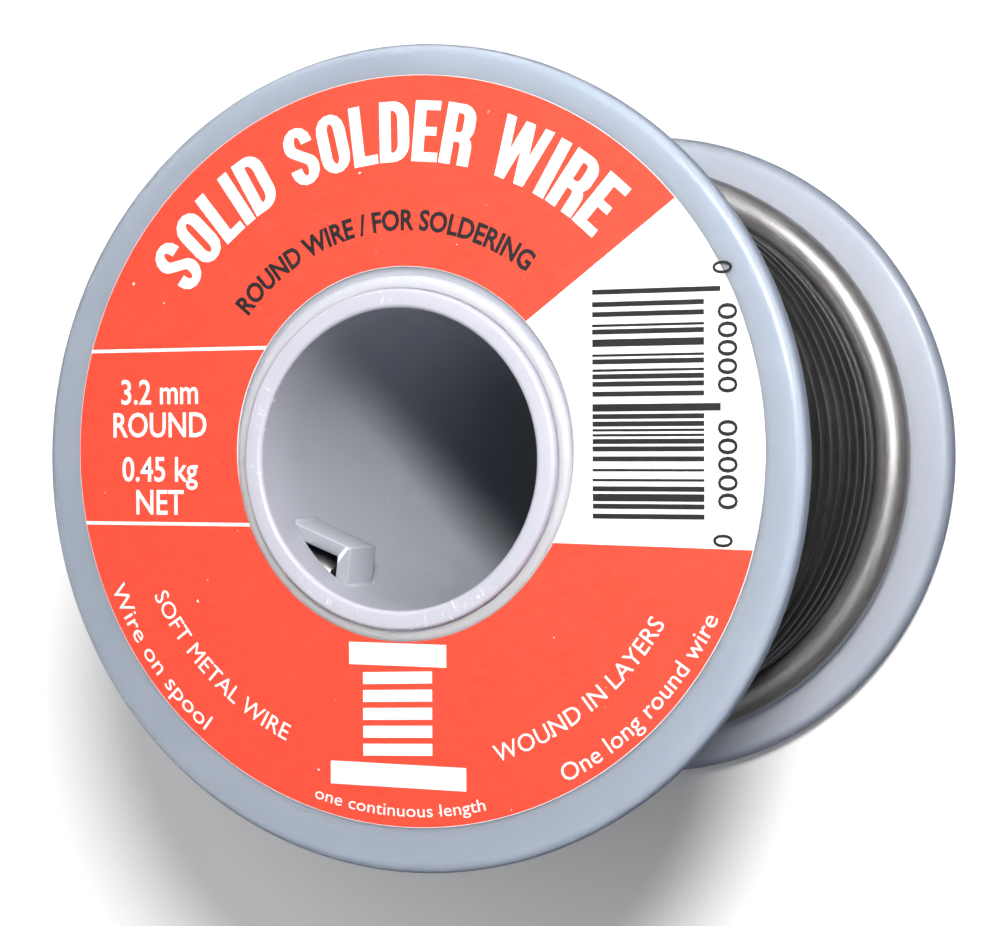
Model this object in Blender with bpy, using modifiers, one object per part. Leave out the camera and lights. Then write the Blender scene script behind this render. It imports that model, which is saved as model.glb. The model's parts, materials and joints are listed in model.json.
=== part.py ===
"""Solder wire spool: two moulded flanges pressed on a tube, a paper ring label and the wound wire.

The spool lies on its rear end.  +Z runs along its axis, out of the labelled front face, +Y is the
label's upright direction, and the origin is the centre of the rear end.  Units are metres.
"""
import math

import bmesh
import bpy
from mathutils import Matrix, Vector

MM = 0.001

# Driving dimensions
WIRE_D = 3.175 * MM             # 0.125 in solder wire
TURN_PITCH = 3.2 * MM           # axial step from one turn to the next
FLANGE_R = 29.5 * MM
FLANGE_T = 2.2 * MM
RIM_ROUND = 0.8 * MM            # rounding of the rim's outer edge
RIM_BACK_ROUND = 0.4 * MM       # rounding of the rim's winding-side edge
FACE_TO_FACE = 53.6 * MM        # between the outer faces of the two flanges
BORE_R = 10.7 * MM
BARREL_R = 12.0 * MM
COLLAR_PROUD = 0.9 * MM         # how far the tube's ends stand out of the flange faces
COLLAR_ROUND = 0.35 * MM
HUB_RISE = 0.3 * MM             # low lip round the hole of a flange
HUB_LIP_W = 0.8 * MM
HUB_LIP_SHAPE = ((0.25, 0.9), (0.75, 0.2))      # shares of the lip's width and of its rise
GAP = 0.3 * MM                  # clearance kept between touching pieces

LABEL_R = 26.67 * MM
LABEL_HOLE_R = 13.14 * MM
LABEL_T = 0.2 * MM
LABEL_LIFT = 0.35 * MM          # clearance between the flange face and the paper
LABEL_SHIFT = (0.11 * MM, 0.54 * MM)    # the paper ring is stuck on slightly off centre

SLOT_START = math.radians(206)  # the lanced strip bulges into the bore between these two angles
SLOT_END = math.radians(239)
STRIP_CREST = math.radians(232)  # where the strip stands furthest into the bore
SLOT_W = 4.6 * MM
SLOT_CUT_DEPTH = 3.0 * MM       # either side of the tube's outer surface
STRIP_SIDE_GAP = 0.3 * MM       # between the strip and each side of the slot
STRIP_SKIN = 0.1 * MM           # how much thinner than the wall the strip is on each side
STRIP_ROOT = math.radians(4)    # how far the strip reaches into the wall at each end
STRIP_DROP = 2.5 * MM           # how far the strip's crest stands into the bore
TAIL_END = math.radians(229)    # where the wire's start end stops
TAIL_R = 11.75 * MM             # radius of the wire's centre at its start end
TAIL_BEHIND = math.radians(20)  # how far before the hinge the start stretch begins
TAIL_LEAVES = math.radians(6)   # how far before the hinge it starts to lean in
POCKET_MORE = math.radians(4)   # how far the pocket in the winding runs past the start stretch

ROUND_STEPS = 48
LABEL_STEPS = 64
WINDING_STEPS = 40
STRIP_RISE_STEPS = 6
STRIP_FALL_STEPS = 3
TAIL_STEPS = 12
WIRE_BEVEL = 2
MERGE_DIST = 0.001 * MM
SCALLOP_DEGREES = (62, 22, -22, -62)
FULL_LAYERS = 4

# Levels along the axis
REAR_FACE = COLLAR_PROUD
FRONT_FACE = REAR_FACE + FACE_TO_FACE
HEIGHT = FRONT_FACE + COLLAR_PROUD
WIND_LOW = REAR_FACE + FLANGE_T + GAP
WIND_HIGH = FRONT_FACE - FLANGE_T - GAP

# Layers of wire: each turn nests between two turns of the layer below
WIRE_R = WIRE_D / 2
LAYER_STEP = math.sqrt(WIRE_D ** 2 - (TURN_PITCH / 2) ** 2)
WINDING_CORNER = 0.5 * WIRE_R
FIRST_TURN_Z = WIND_LOW + WIRE_R
OUTER_LAYER_R = BARREL_R + WIRE_R + (FULL_LAYERS - 1) * LAYER_STEP
WIDE_TURNS = int((WIND_HIGH - WIND_LOW - WIRE_D) / TURN_PITCH) + 1
NARROW_TURNS = WIDE_TURNS - 1
START_TURN_Z = FIRST_TURN_Z + (WIDE_TURNS - 1) * TURN_PITCH

# The outer end: one turn against the rear flange, reached by a stretch that crosses the winding.
# The wire is wound clockwise seen from the front, so its angles fall from its start to its end.
TOP_TURN_LIFT = 0.24 * MM
TOP_TURN_R = OUTER_LAYER_R + LAYER_STEP + TOP_TURN_LIFT
CROSSING_R = OUTER_LAYER_R + WIRE_D + GAP
CROSSING_START = math.radians(260)
CROSSING_END = math.radians(90)
OUTER_END = CROSSING_END - math.radians(322)
SETTLE_POINTS = 5               # the turn drops onto the layer below over its first few points
CROSSING_POINTS = 16
TOP_TURN_POINTS = 42


def clear_scene():
    for obj in list(bpy.data.objects):
        bpy.data.objects.remove(obj, do_unlink=True)


def make_collection(name):
    collection = bpy.data.collections.new(name)
    bpy.context.scene.collection.children.link(collection)
    return collection


def make_material(name, colour, roughness, metallic=0.0):
    material = bpy.data.materials.new(name)
    material.use_nodes = True
    shader = material.node_tree.nodes["Principled BSDF"]
    shader.inputs["Base Color"].default_value = (*colour, 1.0)
    shader.inputs["Roughness"].default_value = roughness
    shader.inputs["Metallic"].default_value = metallic
    return material


def add_object(name, data, collection, material=None):
    obj = bpy.data.objects.new(name, data)
    collection.objects.link(obj)
    if material:
        data.materials.append(material)
    return obj


def turned(name, profile, collection, material, steps=ROUND_STEPS):
    """Spin a closed (radius, height) outline once round Z; its outer side runs from top to bottom."""
    mesh = bpy.data.meshes.new(name)
    points = [(radius, 0.0, height) for radius, height in profile]
    edges = [(i, (i + 1) % len(points)) for i in range(len(points))]
    mesh.from_pydata(points, edges, [])
    obj = add_object(name, mesh, collection, material)
    screw = obj.modifiers.new("Turn", "SCREW")
    screw.axis = "Z"
    screw.steps = steps
    screw.render_steps = steps
    screw.use_merge_vertices = True
    screw.merge_threshold = MERGE_DIST
    screw.use_smooth_shade = True
    return obj


def tube(name, points, radius, collection, material=None):
    """A round wire with filled ends along a list of points."""
    curve = bpy.data.curves.new(name, "CURVE")
    curve.dimensions = "3D"
    curve.bevel_depth = radius
    curve.bevel_resolution = WIRE_BEVEL
    curve.use_fill_caps = True
    spline = curve.splines.new("POLY")
    spline.points.add(len(points) - 1)
    for target, point in zip(spline.points, points):
        target.co = (*point, 1.0)
    return add_object(name, curve, collection, material)


def as_mesh(obj, collection):
    """Replace a curve object by a closed mesh object of the same name."""
    depsgraph = bpy.context.evaluated_depsgraph_get()
    mesh = bpy.data.meshes.new_from_object(obj.evaluated_get(depsgraph))
    welded = bmesh.new()
    welded.from_mesh(mesh)
    bmesh.ops.remove_doubles(welded, verts=welded.verts, dist=MERGE_DIST)
    bmesh.ops.recalc_face_normals(welded, faces=welded.faces)
    welded.to_mesh(mesh)
    welded.free()
    name = obj.name
    matrix = obj.matrix_world.copy()
    bpy.data.objects.remove(obj, do_unlink=True)
    result = bpy.data.objects.new(name, mesh)
    collection.objects.link(result)
    result.matrix_world = matrix
    return result


def boolean(obj, other, operation):
    modifier = obj.modifiers.new(operation.title(), "BOOLEAN")
    modifier.operation = operation
    modifier.solver = "EXACT"
    modifier.object = other
    other.hide_render = True
    other.display_type = "WIRE"


def polar(radius, angle, height=0.0):
    return Vector((radius * math.cos(angle), radius * math.sin(angle), height))


def quarter_round(centre, radius, start, end, steps=3):
    """Points of an arc in the (radius, height) plane, from start to end in degrees."""
    points = []
    for i in range(steps + 1):
        angle = math.radians(start + (end - start) * i / steps)
        points.append((centre[0] + radius * math.cos(angle), centre[1] + radius * math.sin(angle)))
    return points


def flange_profile():
    """Outer face at height 0 with the lip above it, winding side at -FLANGE_T."""
    hole = BARREL_R + GAP
    slope = [(hole + across * HUB_LIP_W, up * HUB_RISE) for across, up in HUB_LIP_SHAPE]
    lip = [(hole, HUB_RISE), *slope, (hole + HUB_LIP_W, 0.0)]
    front = quarter_round((FLANGE_R - RIM_ROUND, -RIM_ROUND), RIM_ROUND, 90, 0, 4)
    back_centre = (FLANGE_R - RIM_BACK_ROUND, RIM_BACK_ROUND - FLANGE_T)
    back = quarter_round(back_centre, RIM_BACK_ROUND, 0, -90, 3)
    return lip + front + back + [(hole, -FLANGE_T)]


def make_flanges(parts, plastic):
    front = turned("front_flange", flange_profile(), parts, plastic)
    front.location.z = FRONT_FACE
    rear = turned("rear_flange", flange_profile(), parts, plastic)
    rear.location.z = REAR_FACE
    rear.rotation_euler.x = math.pi


def barrel_profile():
    top_out = quarter_round((BARREL_R - COLLAR_ROUND, HEIGHT - COLLAR_ROUND), COLLAR_ROUND, 90, 0)
    low_out = quarter_round((BARREL_R - COLLAR_ROUND, COLLAR_ROUND), COLLAR_ROUND, 0, -90)
    low_in = quarter_round((BORE_R + COLLAR_ROUND, COLLAR_ROUND), COLLAR_ROUND, -90, -180)
    top_in = quarter_round((BORE_R + COLLAR_ROUND, HEIGHT - COLLAR_ROUND), COLLAR_ROUND, 180, 90)
    return top_out + low_out + low_in + top_in


def slot_cutter(cutters):
    """A block through the tube's wall, square to the middle of the slot."""
    middle = (SLOT_START + SLOT_END) / 2
    half_width = BARREL_R * math.sin((SLOT_END - SLOT_START) / 2)
    mesh = bpy.data.meshes.new("slot_cutter")
    block = bmesh.new()
    bmesh.ops.create_cube(block, size=1.0)
    size = Matrix.Diagonal((2 * SLOT_CUT_DEPTH, 2 * half_width, SLOT_W, 1.0))
    bmesh.ops.transform(block, matrix=size, verts=block.verts)
    block.to_mesh(mesh)
    block.free()
    cutter = add_object("slot_cutter", mesh, cutters)
    cutter.location = polar(BARREL_R, middle, START_TURN_Z)
    cutter.rotation_euler.z = middle
    return cutter


def strip_outline():
    """Plan of the lanced strip: a long rise from the wall to the crest, and a steep fall back."""
    stations = [(SLOT_START - STRIP_ROOT, 0.0)]
    for i in range(STRIP_RISE_STEPS + 1):
        share = i / STRIP_RISE_STEPS
        stations.append((SLOT_START + (STRIP_CREST - SLOT_START) * share, share))
    for i in range(1, STRIP_FALL_STEPS + 1):
        share = i / STRIP_FALL_STEPS
        stations.append((STRIP_CREST + (SLOT_END - STRIP_CREST) * share, 1 - share))
    stations.append((SLOT_END + STRIP_ROOT, 0.0))
    outer = []
    inner = []
    for angle, lean in stations:
        outer.append(polar(BARREL_R - STRIP_SKIN - STRIP_DROP * lean, angle))
        inner.append(polar(BORE_R + STRIP_SKIN - STRIP_DROP * lean, angle))
    return outer + inner[::-1]


def make_strip(cutters):
    outline = strip_outline()
    curve = bpy.data.curves.new("barrel_strip", "CURVE")
    curve.dimensions = "2D"
    curve.fill_mode = "BOTH"
    curve.extrude = SLOT_W / 2 - STRIP_SIDE_GAP
    spline = curve.splines.new("POLY")
    spline.use_cyclic_u = True
    spline.points.add(len(outline) - 1)
    for target, point in zip(spline.points, outline):
        target.co = (point.x, point.y, 0.0, 1.0)
    obj = add_object("barrel_strip", curve, cutters)
    obj.location.z = START_TURN_Z
    bpy.context.view_layer.update()
    return as_mesh(obj, cutters)


def make_barrel(parts, cutters, plastic):
    barrel = turned("barrel", barrel_profile(), parts, plastic)
    boolean(barrel, slot_cutter(cutters), "DIFFERENCE")
    boolean(barrel, make_strip(cutters), "UNION")


def make_label(parts, paper):
    top = FRONT_FACE + LABEL_LIFT + LABEL_T
    low = FRONT_FACE + LABEL_LIFT
    profile = [(LABEL_HOLE_R, top), (LABEL_R, top), (LABEL_R, low), (LABEL_HOLE_R, low)]
    label = turned("front_label", profile, parts, paper, LABEL_STEPS)
    label.location.x, label.location.y = LABEL_SHIFT


def start_tail_points(extra=0.0):
    """The wire's start: it leaves the first turn, passes behind the strip and ends in the slot."""
    first = SLOT_START - TAIL_BEHIND - extra
    last = TAIL_END + extra
    leave = SLOT_START - TAIL_LEAVES
    points = []
    for i in range(TAIL_STEPS + 1):
        angle = first + (last - first) * i / TAIL_STEPS
        share = min(1.0, max(0.0, (angle - leave) / (TAIL_END - leave)))
        ease = share * share * (3 - 2 * share)
        radius = BARREL_R + WIRE_R + GAP
        radius += (TAIL_R - radius) * ease
        points.append(polar(radius, angle, START_TURN_Z))
    return points


def scallop(centre_r, centre_z):
    """Outer side of one turn, from its front flank to its rear flank."""
    points = []
    for degrees in SCALLOP_DEGREES:
        angle = math.radians(degrees)
        points.append((centre_r + WIRE_R * math.cos(angle), centre_z + WIRE_R * math.sin(angle)))
    return points


def winding_profile():
    """Ring of the full layers: turns show as scallops, and every other layer is half a pitch in."""
    inner_r = BARREL_R + GAP
    shoulder_r = OUTER_LAYER_R - LAYER_STEP + WIRE_R
    top = START_TURN_Z + WIRE_R
    profile = [(inner_r, START_TURN_Z), (inner_r + WINDING_CORNER, top),
               (shoulder_r - WINDING_CORNER, top), (shoulder_r, START_TURN_Z)]
    for turn in reversed(range(NARROW_TURNS)):
        profile += scallop(OUTER_LAYER_R, FIRST_TURN_Z + (turn + 0.5) * TURN_PITCH)
    profile += [(shoulder_r, FIRST_TURN_Z), (shoulder_r - WINDING_CORNER, WIND_LOW),
                (inner_r + WINDING_CORNER, WIND_LOW), (inner_r, FIRST_TURN_Z)]
    return profile


def make_winding(parts, cutters, solder):
    winding = turned("solder_winding", winding_profile(), parts, solder, WINDING_STEPS)
    pocket = tube("tail_pocket", start_tail_points(POCKET_MORE), WIRE_R + GAP, cutters)
    boolean(winding, as_mesh(pocket, cutters), "DIFFERENCE")


def outer_end_points():
    """Across the winding from the front, then once round against the rear flange."""
    points = []
    start_z = FIRST_TURN_Z + (NARROW_TURNS - 0.5) * TURN_PITCH
    for i in range(CROSSING_POINTS):
        share = i / CROSSING_POINTS
        ease = share * share * (3 - 2 * share)
        angle = CROSSING_START + (CROSSING_END - CROSSING_START) * share
        points.append(polar(CROSSING_R, angle, start_z + (FIRST_TURN_Z - start_z) * ease))
    for i in range(TOP_TURN_POINTS + 1):
        angle = CROSSING_END + (OUTER_END - CROSSING_END) * i / TOP_TURN_POINTS
        lift = max(0.0, 1 - i / SETTLE_POINTS) * (CROSSING_R - TOP_TURN_R)
        points.append(polar(TOP_TURN_R + lift, angle, FIRST_TURN_Z))
    return points


def make_wire(parts, cutters, solder):
    make_winding(parts, cutters, solder)
    tube("solder_start_tail", start_tail_points(), WIRE_R, parts, solder)
    tube("solder_outer_end", outer_end_points(), WIRE_R, parts, solder)


def main():
    clear_scene()
    parts = make_collection("solder_wire_spool")
    cutters = make_collection("cutters")
    plastic = make_material("milky_plastic", (0.74, 0.80, 0.88), 0.35)
    paper = make_material("label_paper", (0.98, 0.14, 0.06), 0.55)
    solder = make_material("solder_metal", (0.42, 0.41, 0.42), 0.32, 1.0)
    make_flanges(parts, plastic)
    make_barrel(parts, cutters, plastic)
    make_label(parts, paper)
    make_wire(parts, cutters, solder)


main()
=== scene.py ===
"""Visual scene of the solder wire spool: moulded flanges and tube, printed ring label, wound wire."""
import json
import math
import random

import bmesh
import bpy
from mathutils import Matrix, Vector


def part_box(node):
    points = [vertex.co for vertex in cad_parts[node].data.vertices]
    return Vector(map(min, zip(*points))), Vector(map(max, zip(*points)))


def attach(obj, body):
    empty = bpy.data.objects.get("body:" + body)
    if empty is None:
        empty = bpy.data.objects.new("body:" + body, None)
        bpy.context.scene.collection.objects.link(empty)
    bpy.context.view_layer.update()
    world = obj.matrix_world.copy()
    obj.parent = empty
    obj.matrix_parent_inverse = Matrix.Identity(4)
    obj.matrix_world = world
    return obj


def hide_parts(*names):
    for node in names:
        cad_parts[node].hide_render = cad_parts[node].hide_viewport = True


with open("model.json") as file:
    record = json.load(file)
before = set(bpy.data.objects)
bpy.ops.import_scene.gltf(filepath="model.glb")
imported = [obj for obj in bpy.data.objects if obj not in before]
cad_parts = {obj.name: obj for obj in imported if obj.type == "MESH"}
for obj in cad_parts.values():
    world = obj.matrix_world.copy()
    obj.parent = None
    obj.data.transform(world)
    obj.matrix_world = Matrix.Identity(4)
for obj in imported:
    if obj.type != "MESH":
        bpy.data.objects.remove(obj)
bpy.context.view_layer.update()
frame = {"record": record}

MM = 0.001
RNG = random.Random(7)

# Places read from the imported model
FRONT_LOW, FRONT_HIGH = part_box("front_flange")
_, REAR_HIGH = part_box("rear_flange")
TUBE_LOW, TUBE_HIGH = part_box("barrel")
LABEL_LOW, LABEL_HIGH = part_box("front_label")
END_LOW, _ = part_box("solder_outer_end")
MOUNTS = {mount["name"]: mount for mount in frame["record"]["mounts"]}

FLANGE_R = FRONT_HIGH.x
FLANGE_T = 2.2 * MM
FRONT = FRONT_LOW.z + FLANGE_T          # outer face of the front flange
REAR = REAR_HIGH.z - FLANGE_T
BORE_R = MOUNTS["spindle_bore"]["dims"]["r_mm"] * MM
TUBE_R = 12.1 * MM
HOLE_R = 12.12 * MM
LIP_R = 13.1 * MM
LIP_RISE = FRONT_HIGH.z - FRONT
LABEL_X = (LABEL_LOW.x + LABEL_HIGH.x) / 2
LABEL_Y = (LABEL_LOW.y + LABEL_HIGH.y) / 2
LABEL_R = (LABEL_HIGH.x - LABEL_LOW.x) / 2
LABEL_HOLE_R = 13.14 * MM
PAPER_LOW = FRONT + 0.03 * MM
PAPER_TOP = FRONT + 0.14 * MM
INK_T = 0.012 * MM

WIRE_R = 1.5875 * MM
PITCH = 3.2 * MM
LAYER_STEP = 2.7424 * MM
FIRST_LAYER_R = 13.5875 * MM
LOW_TURN_Z = END_LOW.z + WIRE_R
SPAN_TURNS = 15
LAYERS = 4


# ---------------------------------------------------------------- meshes
def make_object(name, verts, faces, materials, smooth=40.0, indices=None):
    mesh = bpy.data.meshes.new(name)
    mesh.from_pydata([tuple(v) for v in verts], [], faces)
    if indices:
        mesh.polygons.foreach_set("material_index", indices)
    tidy = bmesh.new()
    tidy.from_mesh(mesh)
    bmesh.ops.recalc_face_normals(tidy, faces=tidy.faces)
    tidy.to_mesh(mesh)
    tidy.free()
    obj = bpy.data.objects.new(name, mesh)
    bpy.context.scene.collection.objects.link(obj)
    for material in materials:
        mesh.materials.append(material)
    if smooth:
        mesh.shade_smooth()
        mesh.set_sharp_from_angle(angle=math.radians(smooth))
    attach(obj, "root")
    return obj


def polar(radius, angle, height=0.0):
    return Vector((radius * math.cos(angle), radius * math.sin(angle), height))


def arc(centre, radius, start, end, steps):
    points = []
    for i in range(steps + 1):
        a = math.radians(start + (end - start) * i / steps)
        points.append((centre[0] + radius * math.cos(a), centre[1] + radius * math.sin(a)))
    return points


def turned(name, profile, materials, segments=240, smooth=40.0):
    """A closed (radius, height) outline spun once round Z."""
    count = len(profile)
    verts = []
    faces = []
    for i in range(segments):
        a = 2 * math.pi * i / segments
        verts += [polar(r, a, z) for r, z in profile]
        base, nxt = i * count, ((i + 1) % segments) * count
        for j in range(count):
            k = (j + 1) % count
            faces.append((base + j, base + k, nxt + k, nxt + j))
    return make_object(name, verts, faces, materials, smooth)


def smoothstep(t):
    t = min(1.0, max(0.0, t))
    return t * t * (3 - 2 * t)


# ---------------------------------------------------------------- node helpers
class Nodes:
    """Short calls for building one material's nodes."""

    def __init__(self, name, **constants):
        self.material = bpy.data.materials.new(name)
        self.material.use_nodes = True
        self.tree = self.material.node_tree
        self.shader = self.tree.nodes["Principled BSDF"]
        for key, value in constants.items():
            self.shader.inputs[key.replace("_", " ")].default_value = value
        self.coords = self.tree.nodes.new("ShaderNodeTexCoord")

    def add(self, kind, inputs=None, **settings):
        node = self.tree.nodes.new("ShaderNode" + kind)
        for key, value in settings.items():
            setattr(node, key, value)
        for key, value in (inputs or {}).items():
            if isinstance(value, bpy.types.NodeSocket):
                self.tree.links.new(value, node.inputs[key])
            else:
                node.inputs[key].default_value = value
        return node

    def scaled(self, source, scale):
        return self.add("Mapping", {"Vector": source, "Scale": scale}).outputs[0]

    def noise(self, vector, scale, detail=4.0, rough=0.5):
        inputs = {"Vector": vector, "Scale": scale, "Detail": detail, "Roughness": rough}
        return self.add("TexNoise", inputs).outputs["Fac"]

    def ramp(self, fac, low, high, low_value=0.0, high_value=1.0):
        inputs = {"Value": fac, "From Min": low, "From Max": high,
                  "To Min": low_value, "To Max": high_value}
        return self.add("MapRange", inputs).outputs[0]

    def mix(self, fac, a, b):
        return self.add("Mix", {0: fac, 6: a, 7: b}, data_type="RGBA").outputs[2]

    def math(self, operation, a, b=0.0):
        return self.add("Math", {0: a, 1: b}, operation=operation).outputs[0]

    def colour(self, socket):
        self.tree.links.new(socket, self.shader.inputs["Base Color"])

    def rough(self, socket):
        self.tree.links.new(socket, self.shader.inputs["Roughness"])

    def bump(self, height, distance, strength=1.0):
        node = self.add("Bump", {"Height": height, "Distance": distance, "Strength": strength})
        self.tree.links.new(node.outputs[0], self.shader.inputs["Normal"])


def polar_coords(nodes):
    """Object coordinates as (angle, radius, height), for marks round or across a turned face."""
    xyz = nodes.add("SeparateXYZ", {0: nodes.coords.outputs["Object"]}).outputs
    angle = nodes.math("ARCTAN2", xyz["Y"], xyz["X"])
    square = nodes.math("ADD", nodes.math("MULTIPLY", xyz["X"], xyz["X"]),
                        nodes.math("MULTIPLY", xyz["Y"], xyz["Y"]))
    radius = nodes.math("SQRT", square)
    return nodes.add("CombineXYZ", {0: angle, 1: radius, 2: xyz["Z"]}).outputs[0]


# painted shade laid along the outer rims of the flanges
RIM_PAINTED_SHADE = (0.17, 0.19, 0.235, 1.0)
SCUFF_TONE = (0.95, 0.96, 0.98, 1.0)


def plastic_material(name, pale, shade, scuff, glow=1.0, reach=0.0034,
                     behind_wire=None, lip=None, edge=None):
    """Milky moulded plastic; glow and reach say how much and how far light spreads inside it. The lip
    tone round the hole is partly painted light, and edge paints shade along the outer rim.
    """
    nodes = Nodes(name, Subsurface_Weight=glow, Subsurface_Radius=(0.85, 0.95, 1.1),
                  Subsurface_Scale=reach, IOR=1.49, Specular_IOR_Level=0.45)
    place = nodes.coords.outputs["Object"]
    round_it = polar_coords(nodes)
    cloud = nodes.ramp(nodes.noise(place, 55.0, 3.0), 0.35, 0.65)
    body = nodes.mix(cloud, (*pale, 1.0), (*shade, 1.0))
    if behind_wire:     # the thin wall looks darker where wire lies behind it
        height = nodes.add("SeparateXYZ", {0: place}).outputs["Z"]
        deep = nodes.ramp(height, FRONT - 0.3 * MM, FRONT - 4.5 * MM)
        body = nodes.mix(deep, body, (*behind_wire, 1.0))
    if lip:             # the lip round the hole is paler and lilac: partly its own look with the tube behind it, partly painted light lifting the shade its slope and the tube's end put on it
        reach_in = nodes.add("SeparateXYZ", {0: round_it}).outputs["Y"]
        on_lit_lip = nodes.ramp(reach_in, LIP_R + 0.5 * MM, LIP_R - 0.1 * MM)
        body = nodes.mix(on_lit_lip, body, (*lip, 1.0))
    if edge:            # painted shade: the outer rim is darkened towards a grey-blue tone
        reach_out = nodes.add("SeparateXYZ", {0: round_it}).outputs["Y"]
        on_shaded_rim = nodes.ramp(reach_out, FLANGE_R - edge, FLANGE_R - 0.02 * MM)
        body = nodes.mix(on_shaded_rim, body, RIM_PAINTED_SHADE)
    marks = nodes.noise(nodes.scaled(round_it, (9.0, 9000.0, 900.0)), 1.0, 3.0)
    fine = nodes.noise(nodes.scaled(place, (1300.0, 260.0, 600.0)), 1.0, 2.0)
    scratch = nodes.math("MULTIPLY", nodes.ramp(marks, 0.68, 0.76), nodes.ramp(fine, 0.54, 0.64))
    if behind_wire:     # small knocks on the tube's exposed end, none down the bore
        nicks = nodes.noise(nodes.scaled(round_it, (48.0, 1100.0, 1100.0)), 1.0, 3.0)
        exposed = nodes.ramp(height, FRONT + 0.1 * MM, FRONT + 0.3 * MM)
        patches = nodes.ramp(nodes.noise(place, 130.0, 1.0), 0.50, 0.60)
        knocks = nodes.math("MULTIPLY", nodes.math("MULTIPLY", exposed, patches),
                            nodes.ramp(nicks, 0.60, 0.68))
        scratch = nodes.math("MAXIMUM", nodes.math("MULTIPLY", scratch, 0.25), knocks)
    nodes.colour(nodes.mix(nodes.math("MULTIPLY", scratch, scuff), body, SCUFF_TONE))
    grain = nodes.noise(place, 2600.0, 3.0)
    nodes.rough(nodes.ramp(nodes.noise(place, 210.0, 5.0), 0.3, 0.7, 0.30, 0.46))
    nodes.bump(nodes.math("ADD", grain, nodes.math("MULTIPLY", marks, 0.8)), 0.00002, 0.6)
    return nodes.material


def paper_material(name, ink, worn, roughness, fleck=0.75):
    """Printed coated paper: fibre tone, a halftone-fine grain and small rubbed flecks."""
    nodes = Nodes(name, Specular_IOR_Level=0.35)
    place = nodes.coords.outputs["Object"]
    fibre = nodes.noise(nodes.scaled(place, (900.0, 1500.0, 900.0)), 1.0, 4.0, 0.6)
    tone = nodes.mix(nodes.ramp(fibre, 0.3, 0.7), (*[c * 0.93 for c in ink], 1.0),
                     (*[min(1.0, c * 1.04 + 0.006) for c in ink], 1.0))
    flecks = nodes.ramp(nodes.noise(place, 1500.0, 2.0), fleck, fleck + 0.03)
    nodes.colour(nodes.mix(flecks, tone, (*worn, 1.0)))
    nodes.rough(nodes.ramp(nodes.noise(place, 300.0, 3.0), 0.3, 0.7,
                           roughness - 0.05, roughness + 0.07))
    nodes.bump(fibre, 0.00001, 0.5)
    return nodes.material


def wire_material(name, dark, light, rough_low, rough_high, metallic=1.0):
    """Drawn solder: streaks along the wire, patches of dulling, a few bright rubs."""
    nodes = Nodes(name, Metallic=metallic)
    along = nodes.coords.outputs["UV"]
    streak = nodes.noise(nodes.scaled(along, (14.0, 26.0, 1.0)), 1.0, 5.0, 0.65)
    fine = nodes.noise(nodes.scaled(along, (60.0, 120.0, 1.0)), 1.0, 3.0, 0.6)
    patch = nodes.noise(nodes.coords.outputs["Object"], 160.0, 4.0)
    both = nodes.math("ADD", nodes.math("MULTIPLY", streak, 0.65),
                      nodes.math("MULTIPLY", fine, 0.35))
    tone = nodes.mix(nodes.ramp(both, 0.34, 0.66), (*dark, 1.0), (*light, 1.0))
    rubbed = (*[c * 1.25 for c in light], 1.0)
    nodes.colour(nodes.mix(nodes.ramp(patch, 0.62, 0.8, 0.0, 0.5), tone, rubbed))
    dulling = nodes.math("ADD", nodes.math("MULTIPLY", patch, 0.5), nodes.math("MULTIPLY", both, 0.5))
    nodes.rough(nodes.ramp(dulling, 0.35, 0.65, rough_low, rough_high))
    nodes.bump(both, 0.00003, 0.5)
    return nodes.material


# ---------------------------------------------------------------- plastic parts
def flange_profile():
    """Outer face at height 0 with a low lip round the hole, winding side at -FLANGE_T."""
    steps = 8
    crown = HOLE_R + 0.08 * MM
    edge, back = 0.8 * MM, 0.9 * MM     # roundings of the outer rim and of the winding side
    lip = [(crown + (LIP_R - crown) * i / steps, LIP_RISE * (1 - (i / steps) ** 4))
           for i in range(steps + 1)]
    face = [(LIP_R + (FLANGE_R - edge - LIP_R) * i / steps, 0.0) for i in range(1, steps)]
    rim = arc((FLANGE_R - edge, -edge), edge, 90, 0, 8)
    under = arc((FLANGE_R - back, back - FLANGE_T), back, 0, -90, 5)
    return [(HOLE_R, LIP_RISE - 0.1 * MM)] + lip + face + rim + under + [(HOLE_R, -FLANGE_T)]


def make_flanges(plastic, rear_plastic):
    profile = flange_profile()
    front_face = [(r, FRONT + z) for r, z in profile]
    front = turned("front_flange_skin", front_face, [plastic])
    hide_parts("front_flange")
    rear_face = [(r, REAR - z) for r, z in profile]
    rear = turned("rear_flange_skin", rear_face, [rear_plastic])
    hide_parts("rear_flange")


# Slot, strip and the wire's start end; angles run anticlockwise seen from the front
SLOT_START = math.radians(206.5)
SLOT_END = math.radians(239)
STRIP_CREST = math.radians(231.5)
SLOT_W = 4.4 * MM
SLOT_DEPTH = 6 * MM                     # the cutter's, centred on the tube's wall
STRIP_DROP = 2.4 * MM
STRIP_HALF_W = 2.25 * MM                # a little more than half the slot
STRIP_ROOT = math.radians(4)            # how far each end runs on inside the wall
STRIP_STEPS = 132
# painted highlight: the strip's front faces take a pale tone within CREASE_HALF of this angle
CREASE = STRIP_CREST - math.radians(1.3)
CREASE_HALF = math.radians(0.9)
TAIL_DIPS = math.radians(206)
TAIL_END = math.radians(229)
START_Z = LOW_TURN_Z + (SPAN_TURNS - 1) * PITCH


def tube_profile():
    out_round = 0.3 * MM
    in_round = 0.35 * MM
    top, low = TUBE_HIGH.z, TUBE_LOW.z
    top_out = arc((TUBE_R - out_round, top - out_round), out_round, 90, 0, 7)
    low_out = arc((TUBE_R - out_round, low + out_round), out_round, 0, -90, 7)
    low_in = arc((BORE_R + in_round, low + in_round), in_round, -90, -180, 7)
    top_in = arc((BORE_R + in_round, top - in_round), in_round, 180, 90, 7)
    steps = 8
    wall = [(BORE_R, low + (top - low) * i / steps) for i in range(1, steps)]
    return top_out + low_out + low_in + wall + top_in


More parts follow.
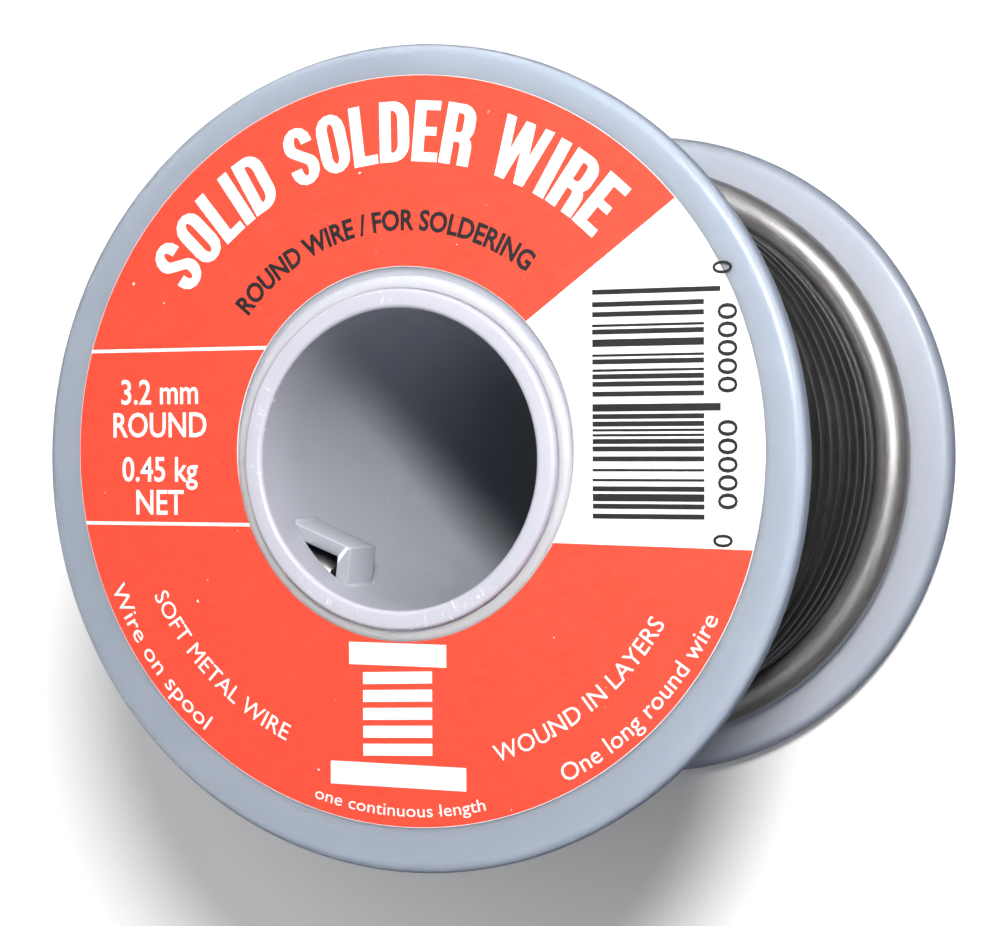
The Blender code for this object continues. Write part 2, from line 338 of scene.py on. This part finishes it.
def box_mesh(name, size, rounding):
    mesh = bpy.data.meshes.new(name)
    block = bmesh.new()
    bmesh.ops.create_cube(block, size=1.0)
    bmesh.ops.transform(block, matrix=Matrix.Diagonal((*size, 1.0)), verts=block.verts)
    bmesh.ops.bevel(block, geom=list(block.edges), offset=rounding, segments=3, affect="EDGES")
    block.to_mesh(mesh)
    block.free()
    return mesh


def make_tube(plastic):
    tube = turned("tube_skin", tube_profile(), [plastic])
    middle = (SLOT_START + SLOT_END) / 2
    size = (SLOT_DEPTH, 2 * TUBE_R * math.sin((SLOT_END - SLOT_START) / 2), SLOT_W)
    cutter = bpy.data.objects.new("slot_cutter", box_mesh("slot_cutter", size, 0.2 * MM))
    bpy.context.scene.collection.objects.link(cutter)
    cutter.location = polar(TUBE_R, middle, START_Z + 0.1 * MM)
    cutter.rotation_euler.z = middle
    cut = tube.modifiers.new("Slot", "BOOLEAN")
    cut.operation = "DIFFERENCE"
    cut.solver = "EXACT"
    cut.object = cutter
    bpy.context.view_layer.update()
    made = tube.evaluated_get(bpy.context.evaluated_depsgraph_get())
    mesh = bpy.data.meshes.new_from_object(made)
    tube.modifiers.clear()
    tube.data = mesh
    mesh.set_sharp_from_angle(angle=math.radians(40))
    bpy.data.objects.remove(cutter, do_unlink=True)
    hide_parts("barrel")


def flight(angle, corners):
    """Radius at an angle on the straight lines that join (radius, angle) corners."""
    part = 0
    while part < len(corners) - 2 and angle > corners[part + 1][1]:
        part += 1
    (r0, a0), (r1, a1) = corners[part:part + 2]
    return r0 * r1 * math.sin(a1 - a0) / (r1 * math.sin(a1 - angle) + r0 * math.sin(angle - a0))


def make_strip(inside_painted_light_plastic, cut_painted_shade_plastic, crease_painted_highlight_plastic):
    """The lanced strip: a straight rise to the crest and a steep fall, a little wider than the slot. Its
    inside is paler than the wall as painted light, its front cut faces darker as painted shade, and a
    pale band at the crease is a painted highlight.
    """
    proud, soft, round_in = 0.02 * MM, 0.12 * MM, 0.3 * MM
    front, rear = STRIP_HALF_W, -STRIP_HALF_W
    inner = [(BORE_R - proud, SLOT_START), (BORE_R - STRIP_DROP, STRIP_CREST),
             (BORE_R - proud, SLOT_END)]
    outer = [(TUBE_R - proud, SLOT_START),
             (TUBE_R - STRIP_DROP - 0.25 * MM, STRIP_CREST - math.radians(2.6)),
             (TUBE_R - proud, SLOT_END - math.radians(2.0))]
    start, end = SLOT_START - STRIP_ROOT, SLOT_END + STRIP_ROOT
    verts, faces, indices = [], [], []
    for i in range(STRIP_STEPS + 1):
        a = start + (end - start) * i / STRIP_STEPS
        low = flight(a, inner) if SLOT_START < a < SLOT_END else BORE_R + proud
        high = flight(a, outer) if SLOT_START < a < outer[2][1] else TUBE_R - proud
        ring = [(high, front - soft), (high - soft, front), (low + round_in, front),
                (low + 0.3 * round_in, front - 0.3 * round_in), (low, front - round_in),
                (low, rear + 2 * soft), (low + 0.6 * soft, rear + 0.6 * soft), (low + 2 * soft, rear),
                (high, rear)]
        verts += [polar(r, a, START_Z + dz) for r, dz in ring]
        count = len(ring)
        if i:
            base = count * (i - 1)
            for j in range(count):
                k = (j + 1) % count
                faces.append((base + j, base + k, base + count + k, base + count + j))
                # front faces take the darker cut tone as painted shade, and near the crease the pale
                # tone as a painted highlight
                cut = 2 if abs(a - CREASE) < CREASE_HALF else 1
                indices.append(cut if j < 3 else 0)     # the first three edges face the front
    faces.append(tuple(range(count)))
    faces.append(tuple(range(count * STRIP_STEPS, count * (STRIP_STEPS + 1))))
    indices += [0, 0]
    make_object("tube_strip", verts, faces, [inside_painted_light_plastic, cut_painted_shade_plastic, crease_painted_highlight_plastic],
                50.0, indices)


# ---------------------------------------------------------------- wound wire
JOG_ANGLE = math.radians(255)
JOG_HALF = math.radians(22)
CROSS_TO = math.radians(90)
LAST_SWEEP = math.radians(322)
TURN_POINTS = 84
WIRE_SIDES = 14
SLOT_WIRE_R = 11.75 * MM                # where the start end lies in the slot
RISE_SHARE = 0.16                       # of the crossing, to climb onto the last layer
CROSS_FROM = 0.06                       # share of the crossing at which it leaves sideways
SETTLE_SHARE = 0.12                     # of the last turn, to settle
STREAK_REPEAT = 0.05                    # metres of wire per unit of its streak texture


def turn_places():
    """Height and radius of each full turn, in winding order, layer by layer."""
    places = []
    for layer in range(LAYERS):
        count = SPAN_TURNS - layer % 2
        heights = [LOW_TURN_Z + (i + 0.5 * (layer % 2)) * PITCH for i in range(count)]
        if layer % 2 == 0:
            heights.reverse()
        for height in heights:
            wander = RNG.uniform(-0.05, 0.05) * MM if layer == LAYERS - 1 else 0.0
            places.append((height + RNG.uniform(-0.01, 0.01) * MM,
                           FIRST_LAYER_R + layer * LAYER_STEP + wander))
    return places


def wire_path():
    """Points of the one wire, start end to outer end; its angle falls along it."""
    places = turn_places()
    points = []
    start = JOG_ANGLE - TAIL_END
    total = 2 * math.pi * len(places)
    steps = int(TURN_POINTS * (total - start) / (2 * math.pi))
    for i in range(steps):
        swept = start + (total - start) * i / steps
        turn = int(swept / (2 * math.pi))
        inside = swept - 2 * math.pi * turn
        z, r = places[turn]
        if inside > 2 * math.pi - JOG_HALF and turn + 1 < len(places):
            blend = smoothstep((inside - (2 * math.pi - JOG_HALF)) / JOG_HALF / 2)
            nz, nr = places[turn + 1]
            z, r = z + (nz - z) * blend, r + (nr - r) * blend
        elif inside < JOG_HALF and turn > 0:
            blend = smoothstep((inside + JOG_HALF) / JOG_HALF / 2)
            pz, pr = places[turn - 1]
            z, r = pz + (z - pz) * blend, pr + (r - pr) * blend
        angle = JOG_ANGLE - swept
        if turn == 0:       # the start end dips into the slot behind the strip
            dip = smoothstep((angle - TAIL_DIPS) / (TAIL_END - TAIL_DIPS))
            r += (SLOT_WIRE_R - r) * dip
        points.append(polar(r, angle, z))
    z, r = places[-1]
    cross_sweep = JOG_ANGLE - CROSS_TO
    cross_r = r + 2 * WIRE_R
    steps = int(TURN_POINTS * cross_sweep / (2 * math.pi))
    for i in range(steps):
        share = i / steps
        rise = smoothstep(share / RISE_SHARE)
        sideways_share = smoothstep(max(0.0, share - CROSS_FROM) / (1 - CROSS_FROM))
        points.append(polar(r + (cross_r - r) * rise, JOG_ANGLE - cross_sweep * share,
                            z + (LOW_TURN_Z - z) * sideways_share))
    top_r = FIRST_LAYER_R + LAYERS * LAYER_STEP + 0.05 * MM
    steps = int(TURN_POINTS * LAST_SWEEP / (2 * math.pi))
    for i in range(steps + 1):
        share = i / steps
        settle = 1 - smoothstep(share / SETTLE_SHARE)
        points.append(polar(top_r + (cross_r - top_r) * settle, CROSS_TO - LAST_SWEEP * share,
                            LOW_TURN_Z))
    return points


def make_wire(shaded_metal, outer, cut):
    path = wire_path()
    outer_from = len(path) - int(TURN_POINTS * (LAST_SWEEP + JOG_ANGLE - CROSS_TO) / (2 * math.pi))
    verts, faces, indices, coords = [], [], [], []
    length, lengths = 0.0, []
    for i, point in enumerate(path):
        before, after = path[max(0, i - 1)], path[min(len(path) - 1, i + 1)]
        ahead = (after - before).normalized()
        outward = Vector((point.x, point.y, 0.0)).normalized()
        side = ahead.cross(outward).normalized()
        outward = side.cross(ahead).normalized()
        if i:
            length += (point - path[i - 1]).length
        lengths.append(length)
        squeeze = 0.86 if i in (0, len(path) - 1) else 1.0      # pinched by the cutters
        for j in range(WIRE_SIDES):
            a = 2 * math.pi * j / WIRE_SIDES
            verts.append(point + WIRE_R * squeeze * (math.cos(a) * outward + math.sin(a) * side))
    for i in range(len(path) - 1):
        base, ahead_base = i * WIRE_SIDES, (i + 1) * WIRE_SIDES
        u0, u1 = lengths[i] / STREAK_REPEAT, lengths[i + 1] / STREAK_REPEAT
        for j in range(WIRE_SIDES):
            k = (j + 1) % WIRE_SIDES
            faces.append((base + j, base + k, ahead_base + k, ahead_base + j))
            # the crossing and last turn take the lighter copy of the solder, painted light
            indices.append(1 if i >= outer_from else 0)
            v0, v1 = j / WIRE_SIDES, (j + 1) / WIRE_SIDES
            coords.append(((base + j, u0, v0), (base + k, u0, v1),
                           (ahead_base + k, u1, v1), (ahead_base + j, u1, v0)))
    last = (len(path) - 1) * WIRE_SIDES
    faces += [tuple(range(WIRE_SIDES)), tuple(range(last, last + WIRE_SIDES))]
    indices += [2, 2]
    wire = make_object("wound_wire", verts, faces, [shaded_metal, outer, cut], 50.0, indices)
    layer = wire.data.uv_layers.new(name="along")
    for polygon, corners in zip(wire.data.polygons, coords):
        where = {vert: (u, v) for vert, u, v in corners}
        for loop in polygon.loop_indices:
            layer.data[loop].uv = where[wire.data.loops[loop].vertex_index]
    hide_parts("solder_winding", "solder_start_tail", "solder_outer_end")
    print("wire length in metres", round(length, 3))


# ---------------------------------------------------------------- label
def on_label(x, y, z):
    """Label coordinates in millimetres from its centre, z in metres."""
    return Vector((LABEL_X + x * MM, LABEL_Y + y * MM, z))


def sector(name, start, end, material, low, top, inner_r, outer_r, around=96, across=6):
    """A printed sector of the ring; start and end are (inner angle, outer angle) in degrees."""
    rows = []
    for i in range(around + 1):
        share = i / around
        a = math.radians(start[0] + (end[0] - start[0]) * share)
        b = math.radians(start[1] + (end[1] - start[1]) * share)
        inner = Vector((inner_r * math.cos(a), inner_r * math.sin(a)))
        outer = Vector((outer_r * math.cos(b), outer_r * math.sin(b)))
        rows.append([inner.lerp(outer, j / across) for j in range(across + 1)])
    width = across + 1
    verts = []
    for z in (low, top):
        for row in rows:
            verts += [on_label(p.x, p.y, z) for p in row]
    shift = (around + 1) * width
    faces = []
    for i in range(around):
        for j in range(across):
            a, b = i * width + j, (i + 1) * width + j
            faces.append((a, a + 1, b + 1, b))
            faces.append((shift + a, shift + b, shift + b + 1, shift + a + 1))
        for j in (0, across):
            a, b = i * width + j, (i + 1) * width + j
            faces.append((a, b, shift + b, shift + a))
    for i in (0, around):
        for j in range(across):
            a = i * width + j
            faces.append((a, a + 1, shift + a + 1, shift + a))
    return make_object(name, verts, faces, [material], 30.0)


def at_height(y, radius):
    return math.degrees(math.asin(y / radius))


class Ink:
    """Gathers flat printed shapes, in label millimetres, into one closed mesh."""

    def __init__(self, name, material, level):
        self.name, self.material, self.level = name, material, level
        self.strokes = 0
        self.verts, self.faces = [], []

    @property
    def low(self):
        return PAPER_TOP + INK_T * (self.level - 0.5)

    @property
    def top(self):
        """Strokes that cross in one letter lie at slightly different heights."""
        return PAPER_TOP + INK_T * (self.level + 1 + 0.2 * (self.strokes % 6))

    def polygon(self, points):
        self.strokes += 1
        count, base = len(points), len(self.verts)
        self.verts += [on_label(x, y, self.low) for x, y in points]
        self.verts += [on_label(x, y, self.top) for x, y in points]
        self.faces.append(tuple(base + i for i in range(count)))
        self.faces.append(tuple(base + count + i for i in range(count)))
        for i in range(count):
            k = (i + 1) % count
            self.faces.append((base + i, base + k, base + count + k, base + count + i))

    def ribbon(self, left, right):
        """A band of quads between two lines of points."""
        self.strokes += 1
        count, base = len(left), len(self.verts)
        for z in (self.low, self.top):
            self.verts += [on_label(x, y, z) for x, y in left]
            self.verts += [on_label(x, y, z) for x, y in right]
        up = 2 * count
        for i in range(count - 1):
            a, b, c, d = base + i, base + i + 1, base + count + i + 1, base + count + i
            self.faces += [(a, b, c, d), (a + up, d + up, c + up, b + up),
                           (a, a + up, b + up, b), (d, c, c + up, d + up)]
        for i in (0, count - 1):
            a, d = base + i, base + count + i
            self.faces.append((a, d, d + up, a + up))

    def bar(self, x0, y0, x1, y1):
        self.polygon([(x0, y0), (x1, y0), (x1, y1), (x0, y1)])

    def text(self, body, size, place, squeeze=1.0, bold=0.0, width=None):
        """Set a line in the plain built-in letters; place turns (x, y) in its line into label (x, y)."""
        curve = bpy.data.curves.new("line", "FONT")
        curve.body, curve.size = body, size
        curve.offset, curve.resolution_u = bold * size, 3
        curve.align_x = "CENTER"
        holder = bpy.data.objects.new("line", curve)
        bpy.context.scene.collection.objects.link(holder)
        bpy.context.view_layer.update()
        flat = holder.evaluated_get(bpy.context.evaluated_depsgraph_get()).to_mesh()
        shape = bmesh.new()
        shape.from_mesh(flat)
        bmesh.ops.remove_doubles(shape, verts=shape.verts, dist=size * 0.0005)
        xs = [v.co.x for v in shape.verts]
        if width:
            squeeze = width / (max(xs) - min(xs))
        middle = (max(xs) + min(xs)) / 2
        shape.verts.ensure_lookup_table()
        base, count = len(self.verts), len(shape.verts)
        placed = [place((v.co.x - middle) * squeeze, v.co.y) for v in shape.verts]
        self.verts += [on_label(x, y, self.low) for x, y in placed]
        self.verts += [on_label(x, y, self.top) for x, y in placed]
        for face in shape.faces:
            loop = [v.index for v in face.verts]
            self.faces.append(tuple(base + i for i in loop))
            self.faces.append(tuple(base + count + i for i in reversed(loop)))
        for edge in shape.edges:
            if len(edge.link_faces) == 1:
                a, b = (v.index for v in edge.verts)
                self.faces.append((base + a, base + b, base + count + b, base + count + a))
        shape.free()
        bpy.data.objects.remove(holder, do_unlink=True)

    def finish(self):
        return make_object(self.name, self.verts, self.faces, [self.material], None)


def over_arc(radius, middle):
    """Letters stand on an arc, heads outward."""
    def place(x, y):
        a = math.radians(middle) - x / radius
        return (radius + y) * math.cos(a), (radius + y) * math.sin(a)
    return place


def under_arc(radius, middle):
    """Letters hang in an arc, heads inward."""
    def place(x, y):
        a = math.radians(middle) + x / radius
        return (radius - y) * math.cos(a), (radius - y) * math.sin(a)
    return place


def straight(cx, cy):
    return lambda x, y: (cx + x, cy + y)


def sideways(cx, cy):
    """Letters read upwards."""
    return lambda x, y: (cx - y, cy + x)


# Heavy narrow capitals for the headline, each drawn in a box 1 high
STEM = 0.215
BAR = 0.155


def bowl(points, thick_x, thick_y):
    """Left and right sides of a band along points, thicker where it runs upright."""
    left, right = [], []
    for i, (x, y) in enumerate(points):
        ax, ay = points[max(0, i - 1)]
        bx, by = points[min(len(points) - 1, i + 1)]
        dx, dy = bx - ax, by - ay
        size = math.hypot(dx, dy)
        nx, ny = -dy / size, dx / size
        left.append((x + nx * thick_x / 2, y + ny * thick_y / 2))
        right.append((x - nx * thick_x / 2, y - ny * thick_y / 2))
    return left, right


def corner(cx, cy, rx, ry, start, end, steps=7):
    turns = [math.radians(start + (end - start) * i / steps) for i in range(steps + 1)]
    return [(cx + rx * math.cos(a), cy + ry * math.sin(a)) for a in turns]


def glyph(letter, w):
    """Bands and polygons of one headline capital, w wide."""
    s, b = STEM, BAR
    m = w - s
    rx, ry = (w - s) / 2, 0.20
    cx = w / 2
    if letter == "I":
        return [], [[(0, 0), (s, 0), (s, 1), (0, 1)]]
    if letter == "L":
        return [], [[(0, 0), (w, 0), (w, b), (s, b), (s, 1), (0, 1)]]
    if letter == "E":
        return [], [[(0, 0), (w, 0), (w, b), (s, b), (s, 0.43), (w * 0.9, 0.43), (w * 0.9, 0.57),
                     (s, 0.57), (s, 1 - b), (w, 1 - b), (w, 1), (0, 1)]]
    if letter == "O":
        path = corner(cx, ry + b / 2, rx, ry, 180, 360) + corner(cx, 1 - ry - b / 2, rx, ry, 0, 180)
        return [bowl(path + path[:1], s, b)], []
    if letter == "D":
        path = ([(s * 0.6, b / 2)] + corner(m + s / 2 - 0.2, 0.22 + b / 2, 0.2, 0.22, -90, 0)
                + corner(m + s / 2 - 0.2, 0.78 - b / 2, 0.2, 0.22, 0, 90) + [(s * 0.6, 1 - b / 2)])
        return [bowl(path, s, b)], [[(0, 0), (s, 0), (s, 1), (0, 1)]]
    if letter == "R":
        path = ([(s * 0.6, 0.455)] + corner(m + s / 2 - 0.16, 0.455 + 0.16, 0.16, 0.16, -90, 0)
                + corner(m + s / 2 - 0.16, 0.84 - b / 2, 0.16, 0.16, 0, 90) + [(s * 0.6, 1 - b / 2)])
        leg = ([(m + s / 2 - 0.20, 0.455)] + corner(m + s / 2 - 0.16, 0.455 - 0.15, 0.16, 0.15, 80, 0)
               + [(m + s / 2, 0.0)])
        return [bowl(path, s, b), bowl(leg, s, b)], [[(0, 0), (s, 0), (s, 1), (0, 1)]]
    if letter == "S":
        path = ([(w - s / 2, 0.69)] + corner(cx, 1 - ry - b / 2, rx, ry, 0, 180)
                + corner(cx, 0.72, rx, 0.17, 195, 235, 3) + corner(cx, 0.28, rx, 0.17, 55, 8, 4)
                + corner(cx, ry + b / 2, rx, ry, 0, -180) + [(s / 2, 0.31)])
        return [bowl(path, s, b)], []
    if letter == "W":
        t = s * 0.84
        step = (w - t) / 4
        xs = [i * step for i in range(5)]
        strokes = []
        for i in range(4):
            y0, y1 = (1, 0) if i % 2 == 0 else (0, 1)
            strokes.append([(xs[i], y0), (xs[i] + t, y0), (xs[i + 1] + t, y1), (xs[i + 1], y1)])
        return [], strokes
    return [], []       # a space


GLYPH_WIDTH = {"I": STEM, "L": 0.46, "E": 0.48, "W": 0.93, " ": 0.27}


def headline(ink, words, low_r, height, start, end):
    """Set the headline letter by letter on an arc, from the start angle down to the end angle."""
    widths = [GLYPH_WIDTH.get(letter, 0.56) for letter in words]
    gap = 0.085
    total = sum(widths) + gap * (len(words) - 1)
    middle_r = low_r + height / 2
    stretch = math.radians(start - end) * middle_r / height / total
    along = 0.0
    for letter, width in zip(words, widths):
        a = math.radians(start) - (along + width / 2) * stretch * height / middle_r
        across, outward = Vector((math.sin(a), -math.cos(a))), Vector((math.cos(a), math.sin(a)))

        def place(point, across=across, outward=outward, width=width):
            spot = (across * ((point[0] - width / 2) * stretch * height)
                    + outward * (low_r + point[1] * height))
            return spot.x, spot.y

        bands, polygons = glyph(letter, width)
        for left, right in bands:
            ink.ribbon([place(p) for p in left], [place(p) for p in right])
        for points in polygons:
            ink.polygon([place(p) for p in points])
        along += width + gap


# Printed layout, in millimetres from the label's centre
UPPER_RULE_Y, LOWER_RULE_Y, RULE_HALF = 7.6, 5.3, 0.13
BAR_MODULES = 95
BAR_LEFT, BAR_RIGHT, GUARD_RIGHT = 14.5, 22.45, 23.6
BAR_TOP, BAR_FOOT = 11.05, -5.1


def make_label(paper, red, white, black):
    ring = [(LABEL_HOLE_R, PAPER_TOP), (LABEL_R, PAPER_TOP),
            (LABEL_R, PAPER_LOW), (LABEL_HOLE_R, PAPER_LOW)]
    sheet = turned("label_paper_ring", ring, [paper], 240, 30.0)
    for vert in sheet.data.vertices:
        vert.co.x += LABEL_X
        vert.co.y += LABEL_Y
    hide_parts("front_label")

    inner, outer = LABEL_HOLE_R / MM + 0.03, LABEL_R / MM - 0.04
    low, top = PAPER_TOP - 0.5 * INK_T, PAPER_TOP + INK_T

    def left_end(y, sign):
        """Inner and outer angle where a level rule meets the ring's left; sign -1 is above, 1 below."""
        return 180 + sign * at_height(y, inner), 180 + sign * at_height(y, outer)

    sector("label_red_upper", (43.2, 39.9), left_end(UPPER_RULE_Y + RULE_HALF, -1),
           red, low, top, inner, outer)
    sector("label_red_middle", left_end(UPPER_RULE_Y - RULE_HALF, -1),
           left_end(LOWER_RULE_Y - RULE_HALF, 1), red, low, top, inner, outer, 32)
    sector("label_red_lower", left_end(LOWER_RULE_Y + RULE_HALF, 1),
           (360 - at_height(6.3, inner), 360 - at_height(6.6, outer)), red, low, top, inner, outer)

    pale = Ink("label_white_print", white, 1.2)
    headline(pale, "SOLID SOLDER WIRE", 20.55, 4.3, 145.5, 45.5)
    for words, foot in (("3.2 mm", 3.6), ("ROUND", 1.15), ("0.45 kg", -2.15), ("NET", -4.6)):
        pale.text(words, 2.6, straight(-19.7, foot), 0.86, 0.012)
    for words, height, radius, middle, width in (
            ("SOFT METAL WIRE", 1.75, 22.9, -133, 15.3),
            ("Wire on spool", 1.75, 26.0, -142.5, 13.2),
            ("WOUND IN LAYERS", 1.75, 22.9, -51, 16.2),
            ("One long round wire", 1.75, 26.0, -43.5, 16.2),
            ("one continuous length", 1.25, 25.9, -90.5, 13.6)):
        pale.text(words, height, under_arc(radius, middle), width=width)
    # A plain drawing of a spool on its end
    pale.polygon([(-4.1, -13.6), (3.5, -13.6), (3.5, -15.2), (-4.1, -15.2)])
    pale.polygon([(-5.6, -22.2), (5.0, -22.2), (5.0, -23.85), (-5.6, -23.85)])
    for i in range(5):
        y = -15.75 - i * 1.28
        pale.polygon([(-3.0, y), (2.4, y + 0.25), (2.4, y - 0.6), (-3.0, y - 0.85)])
    pale.finish()

    dark = Ink("label_black_print", black, 1.2)
    dark.text("ROUND WIRE / FOR SOLDERING", 2.0, over_arc(15.75, 96.5), bold=0.03, width=24.3)
    # Made-up bars with zeros beside them
    bars = random.Random(11)
    module = (BAR_TOP - BAR_FOOT) / BAR_MODULES
    at = 0
    while at < BAR_MODULES:
        wide = min(bars.choice((1, 1, 1, 2, 2, 3)), BAR_MODULES - at)
        guard = at < 3 or at > 91 or 45 <= at <= 48
        dark.bar(BAR_LEFT, BAR_TOP - at * module,
                 GUARD_RIGHT if guard else BAR_RIGHT, BAR_TOP - (at + wide) * module)
        at += wide + bars.choice((1, 1, 2, 2, 3))
    for digits, centre, column, width in (("00000", 6.9, 24.75, 6.0), ("00000", -0.9, 24.75, 6.0),
                                          ("0", 12.3, 24.4, None), ("0", -6.0, 24.4, None)):
        dark.text(digits, 1.95, sideways(column, centre), bold=0.004, width=width)
    dark.finish()


# ---------------------------------------------------------------- stage
FLOOR_HALF = 1.6
GLOW_FROM, GLOW_FULL = 22 * MM, 60 * MM     # painted light: the floor glows faintly away from the spool; the unglowing ring under and round it is a painted shadow
GLOW_STRENGTH = 0.27


def make_floor():
    nodes = Nodes("pale_floor", Roughness=0.9, Specular_IOR_Level=0.1)
    tone = nodes.noise(nodes.coords.outputs["Object"], 3.0, 3.0)
    nodes.colour(nodes.mix(tone, (0.93, 0.93, 0.935, 1.0), (0.95, 0.95, 0.95, 1.0)))
    nodes.shader.inputs["Emission Color"].default_value = (1.0, 1.0, 1.0, 1.0)
    place = nodes.coords.outputs["Object"]
    # the glow is painted light; where it fades to none round the spool it leaves a painted shadow
    away = nodes.add("VectorMath", {0: place}, operation="LENGTH").outputs["Value"]
    glow = nodes.ramp(away, GLOW_FROM, GLOW_FULL, 0.0, GLOW_STRENGTH)
    nodes.tree.links.new(glow, nodes.shader.inputs["Emission Strength"])
    mesh = bpy.data.meshes.new("floor")
    s = FLOOR_HALF
    mesh.from_pydata([(-s, -s, 0), (s, -s, 0), (s, s, 0), (-s, s, 0)], [], [(0, 1, 2, 3)])
    mesh.materials.append(nodes.material)
    floor = bpy.data.objects.new("floor", mesh)
    floor.visible_glossy = False
    bpy.context.scene.collection.objects.link(floor)


def make_light(name, direction, distance, size, power, colour):
    """A round area light that faces the middle of the front flange."""
    light = bpy.data.lights.new(name, "AREA")
    light.shape = "DISK"
    light.size = size
    light.energy = power
    light.color = colour
    obj = bpy.data.objects.new(name, light)
    bpy.context.scene.collection.objects.link(obj)
    way = Vector(direction).normalized()
    obj.location = Vector((0, 0, FRONT)) + way * distance
    obj.rotation_mode = "QUATERNION"
    obj.rotation_quaternion = way.to_track_quat("Z", "Y")
    return obj


def make_world():
    world = bpy.data.worlds.new("room")
    bpy.context.scene.world = world
    world.use_nodes = True
    # A broad soft panel overhead, and a dim room towards the horizon
    tree = world.node_tree
    coords = tree.nodes.new("ShaderNodeTexCoord")
    split = tree.nodes.new("ShaderNodeSeparateXYZ")
    panel = tree.nodes.new("ShaderNodeMapRange")
    panel.interpolation_type = "SMOOTHSTEP"
    for key, value in (("From Min", 0.60), ("From Max", 0.90), ("To Min", 0.04), ("To Max", 0.38)):
        panel.inputs[key].default_value = value
    tree.links.new(coords.outputs["Generated"], split.inputs[0])
    tree.links.new(split.outputs["Z"], panel.inputs["Value"])
    background = tree.nodes["Background"]
    background.inputs[0].default_value = (0.94, 0.965, 1.0, 1.0)
    tree.links.new(panel.outputs[0], background.inputs[1])


def make_camera():
    """The camera fitted to the outlines of the flange, label and bore."""
    data = bpy.data.cameras.new("camera")
    data.lens = 78.22
    data.sensor_width = 36.0
    data.clip_start = 0.005
    camera = bpy.data.objects.new("camera", data)
    bpy.context.scene.collection.objects.link(camera)
    right = Vector((0.92552, -0.00365, -0.37868))
    up = Vector((0.0, 0.99995, -0.00964))
    back = right.cross(up).normalized()
    turn = Matrix((right, up, back)).transposed()
    camera.rotation_mode = "QUATERNION"
    camera.rotation_quaternion = turn.to_quaternion()
    camera.location = Vector((65.476 * MM, 1.105 * MM, FRONT + 140.759 * MM))
    bpy.context.scene.camera = camera


bpy.context.scene.view_settings.view_transform = "Standard"
make_camera()
make_floor()
make_world()
make_light("key", (0.48, 0.43, 1.0), 0.24, 0.05, 0.98, (1.0, 0.985, 0.96))
make_light("side", (1.0, 0.35, 0.5), 0.24, 0.12, 0.05, (0.95, 0.98, 1.0))
for card, way, power in (("back_card", (-0.45, 1.0, 0.10), 1.3),
                         ("left_card", (-1.0, -0.45, 0.10), 1.0)):
    seen_in_gloss = make_light(card, way, 0.45, 0.40, power, (0.97, 0.985, 1.0))
    seen_in_gloss.visible_diffuse = False

# The front flange: a paler lip round the hole, partly painted light, and a thin rim of painted shade
plastic = plastic_material("milky_plastic_front", (0.335, 0.375, 0.445), (0.31, 0.35, 0.42), 0.4,
                           lip=(0.56, 0.59, 0.72), edge=0.25 * MM)
# The rear flange: a wider rim of painted shade
rear_plastic = plastic_material("milky_plastic_rear", (0.47, 0.50, 0.57), (0.44, 0.47, 0.54), 0.4,
                                edge=0.9 * MM)
tube_plastic = plastic_material("milky_plastic_tube", (0.50, 0.50, 0.575), (0.465, 0.465, 0.54), 0.5,
                                glow=0.25, reach=0.0008, behind_wire=(0.42, 0.445, 0.50))
make_flanges(plastic, rear_plastic)
make_tube(tube_plastic)
# The strip's three tones: the inside paler than the wall as painted light, the front cut faces darker as
# painted shade, the crease band pale as a painted highlight
make_strip(*[plastic_material(look, pale, shade, 0.2, glow=0.2, reach=0.0006) for look, pale, shade in (
    ("milky_plastic_inside_painted_light", (0.49, 0.515, 0.57), (0.46, 0.485, 0.54)),
    ("milky_plastic_cut_painted_shade", (0.285, 0.30, 0.335), (0.26, 0.275, 0.31)),
    ("milky_plastic_crease_painted_highlight", (0.62, 0.64, 0.68), (0.56, 0.58, 0.62)))])
# The main winding's solder is darkened below its own tone as painted shade; the crossing and last turn
# take a lighter copy as painted light; the cut ends are fresh bright metal.
make_wire(*[wire_material(*look) for look in (
    ("drawn_solder", (0.14, 0.135, 0.138), (0.235, 0.228, 0.231), 0.30, 0.46, 0.96),
    ("drawn_solder_outer_painted_light", (0.27, 0.263, 0.268), (0.42, 0.41, 0.415), 0.36, 0.50, 0.80),
    ("cut_solder", (0.5, 0.49, 0.48), (0.7, 0.69, 0.68), 0.25, 0.45))])
make_label(paper_material("label_bare_paper", (0.84, 0.84, 0.845), (0.7, 0.7, 0.7), 0.5),
           paper_material("label_red_ink", (0.80, 0.060, 0.029), (0.9, 0.68, 0.62), 0.5),
           paper_material("label_white_ink", (0.86, 0.85, 0.84), (0.85, 0.55, 0.45), 0.5),
           paper_material("label_black_ink", (0.008, 0.007, 0.009), (0.12, 0.09, 0.09), 0.55))
